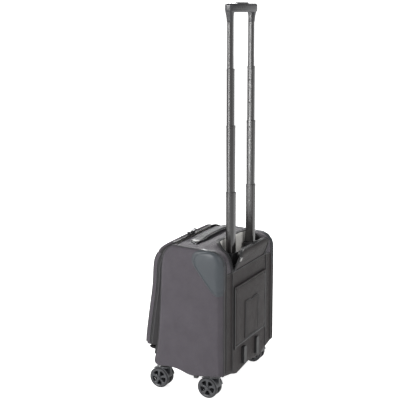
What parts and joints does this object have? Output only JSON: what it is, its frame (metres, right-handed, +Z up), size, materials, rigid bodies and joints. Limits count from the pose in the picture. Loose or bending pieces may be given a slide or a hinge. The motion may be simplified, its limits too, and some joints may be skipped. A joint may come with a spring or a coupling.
{
  "type": "rolling laptop case",
  "caption": "Upright soft-sided rolling laptop case with a telescopic trolley handle, twin-wheel swivel casters, front door and top carry handle.",
  "frame": {"origin": "on the floor, under the middle of the object's box with the trolley handle drawn out", "axes": "+Z up, -Y out of the front door, +Y towards the trolley handle, +X to the case's own left"},
  "size_m": [0.34, 0.2566, 1.023],
  "materials": {
    "nylon_cloth": "ballistic nylon weave, charcoal",
    "lining": "pale grey lining",
    "moulded_plastic": "fine moulded grain, black",
    "guard_plastic": "smooth slate grey",
    "zipper": "coil zipper on tape",
    "zip_metal": "satin",
    "handle_pad": "padded webbing",
    "anchor_metal": "satin",
    "tube_metal": "anodised gunmetal, glossy",
    "collar_plastic": "satin",
    "grip_plastic": "soft satin",
    "button_plastic": "gloss",
    "steel": "plain",
    "caster_plastic": "satin",
    "wheel_plastic": "satin spokes",
    "tyre": "thin tread"
  },
  "bodies": {
    "case": {"side_panel_left": "nylon_cloth", "side_panel_right": "nylon_cloth", "top_panel": "nylon_cloth", "rear_shoulders": "nylon_cloth", "back_panel": "nylon_cloth", "bottom_tray": "moulded_plastic", "corner_guards": "guard_plastic", "skid_guards": "guard_plastic", "rear_wall": "lining", "laptop_sleeve": "lining", "rear_sleeve": "nylon_cloth", "id_pocket": "nylon_cloth", "main_zipper": "zipper", "flap_zipper": "zipper", "handle_anchors": "anchor_metal", "outer_tubes": "tube_metal", "handle_bezel": "moulded_plastic", "handle_base": "moulded_plastic", "caster_housings": "moulded_plastic", "housing_screws": "steel"},
    "rear_flap": {"rear_flap": "nylon_cloth", "flap_zip_slider": "zip_metal"},
    "carry_handle": {"carry_handle": "handle_pad"},
    "door": {"door_divider": "lining", "door_gussets": "nylon_cloth", "front_zipper": "zipper"},
    "front_panel": {"front_panel": "nylon_cloth"},
    "main_zip_pull_left": {"main_zip_pull_left": "zip_metal"},
    "main_zip_pull_right": {"main_zip_pull_right": "zip_metal"},
    "stage_4": {"stage_4_tubes": "tube_metal", "stage_4_collars": "collar_plastic"},
    "stage_3": {"stage_3_tubes": "tube_metal", "stage_3_collars": "collar_plastic"},
    "stage_2": {"stage_2_tubes": "tube_metal", "stage_2_collars": "collar_plastic"},
    "stage_1": {"stage_1_tubes": "tube_metal", "grip": "grip_plastic"},
    "release_button": {"release_button": "button_plastic", "release_rods": "steel"},
    "caster_front_right": {"fork_front_right": "caster_plastic"},
    "wheel_front_right_outer": {"wheel_front_right_outer": "wheel_plastic", "tyre_front_right_outer": "tyre"},
    "wheel_front_right_inner": {"wheel_front_right_inner": "wheel_plastic", "tyre_front_right_inner": "tyre"},
    "caster_front_left": {"fork_front_left": "caster_plastic"},
    "wheel_front_left_outer": {"wheel_front_left_outer": "wheel_plastic", "tyre_front_left_outer": "tyre"},
    "wheel_front_left_inner": {"wheel_front_left_inner": "wheel_plastic", "tyre_front_left_inner": "tyre"},
    "caster_rear_right": {"fork_rear_right": "caster_plastic"},
    "wheel_rear_right_outer": {"wheel_rear_right_outer": "wheel_plastic", "tyre_rear_right_outer": "tyre"},
    "wheel_rear_right_inner": {"wheel_rear_right_inner": "wheel_plastic", "tyre_rear_right_inner": "tyre"},
    "caster_rear_left": {"fork_rear_left": "caster_plastic"},
    "wheel_rear_left_outer": {"wheel_rear_left_outer": "wheel_plastic", "tyre_rear_left_outer": "tyre"},
    "wheel_rear_left_inner": {"wheel_rear_left_inner": "wheel_plastic", "tyre_rear_left_inner": "tyre"}
  },
  "joints": [
    {"name": "stage_4_slide", "type": "slide", "parent": "case", "child": "stage_4", "axis": [0, 0, 1], "range_m": [-0.185, 0]},
    {"name": "stage_3_slide", "type": "slide", "parent": "stage_4", "child": "stage_3", "axis": [0, 0, 1], "range_m": [-0.1673, 0]},
    {"name": "stage_2_slide", "type": "slide", "parent": "stage_3", "child": "stage_2", "axis": [0, 0, 1], "range_m": [-0.1377, 0]},
    {"name": "stage_1_slide", "type": "slide", "parent": "stage_2", "child": "stage_1", "axis": [0, 0, 1], "range_m": [-0.1149, 0]},
    {"name": "release_button_press", "type": "slide", "parent": "stage_1", "child": "release_button", "axis": [0, 0, -1], "range_m": [0, 0.003], "stiffness_N_per_m": 600},
    {"name": "rear_flap_hinge", "type": "hinge", "parent": "case", "child": "rear_flap", "pos_m": [0, 0.111, 0.344], "axis": [1, 0, 0], "range_deg": [-110, 12]},
    {"name": "carry_handle_lift", "type": "slide", "parent": "case", "child": "carry_handle", "axis": [0, 0, 1], "range_m": [0, 0.018]},
    {"name": "door_hinge", "type": "hinge", "parent": "case", "child": "door", "pos_m": [0, -0.0905, 0.1105], "axis": [1, 0, 0], "range_deg": [0, 75]},
    {"name": "front_panel_hinge", "type": "hinge", "parent": "door", "child": "front_panel", "pos_m": [0, -0.126, 0.1205], "axis": [1, 0, 0], "range_deg": [0, 30]},
    {"name": "main_zip_pull_left_swing", "type": "hinge", "parent": "case", "child": "main_zip_pull_left", "pos_m": [0.046, -0.0395, 0.4194], "axis": [0, 1, 0], "range_deg": [-8, 130]},
    {"name": "main_zip_pull_right_swing", "type": "hinge", "parent": "case", "child": "main_zip_pull_right", "pos_m": [0.063, -0.0395, 0.4194], "axis": [0, 1, 0], "range_deg": [-130, 8]},
    {"name": "swivel_front_right", "type": "hinge", "parent": "case", "child": "caster_front_right", "pos_m": [-0.1395, -0.0717, 0], "axis": [0, 0, 1], "continuous": true},
    {"name": "spin_front_right_outer", "type": "hinge", "parent": "caster_front_right", "child": "wheel_front_right_outer", "pos_m": [-0.1395, -0.0867, 0.028], "axis": [1, 0, 0], "continuous": true},
    {"name": "spin_front_right_inner", "type": "hinge", "parent": "caster_front_right", "child": "wheel_front_right_inner", "pos_m": [-0.1395, -0.0867, 0.028], "axis": [1, 0, 0], "continuous": true},
    {"name": "swivel_front_left", "type": "hinge", "parent": "case", "child": "caster_front_left", "pos_m": [0.1395, -0.0717, 0], "axis": [0, 0, 1], "continuous": true},
    {"name": "spin_front_left_outer", "type": "hinge", "parent": "caster_front_left", "child": "wheel_front_left_outer", "pos_m": [0.1395, -0.0867, 0.028], "axis": [1, 0, 0], "continuous": true},
    {"name": "spin_front_left_inner", "type": "hinge", "parent": "caster_front_left", "child": "wheel_front_left_inner", "pos_m": [0.1395, -0.0867, 0.028], "axis": [1, 0, 0], "continuous": true},
    {"name": "swivel_rear_right", "type": "hinge", "parent": "case", "child": "caster_rear_right", "pos_m": [-0.1395, 0.0757, 0], "axis": [0, 0, 1], "continuous": true},
    {"name": "spin_rear_right_outer", "type": "hinge", "parent": "caster_rear_right", "child": "wheel_rear_right_outer", "pos_m": [-0.1395, 0.0607, 0.028], "axis": [1, 0, 0], "continuous": true},
    {"name": "spin_rear_right_inner", "type": "hinge", "parent": "caster_rear_right", "child": "wheel_rear_right_inner", "pos_m": [-0.1395, 0.0607, 0.028], "axis": [1, 0, 0], "continuous": true},
    {"name": "swivel_rear_left", "type": "hinge", "parent": "case", "child": "caster_rear_left", "pos_m": [0.1395, 0.0757, 0], "axis": [0, 0, 1], "continuous": true},
    {"name": "spin_rear_left_outer", "type": "hinge", "parent": "caster_rear_left", "child": "wheel_rear_left_outer", "pos_m": [0.1395, 0.0607, 0.028], "axis": [1, 0, 0], "continuous": true},
    {"name": "spin_rear_left_inner", "type": "hinge", "parent": "caster_rear_left", "child": "wheel_rear_left_inner", "pos_m": [0.1395, 0.0607, 0.028], "axis": [1, 0, 0], "continuous": true}
  ]
}
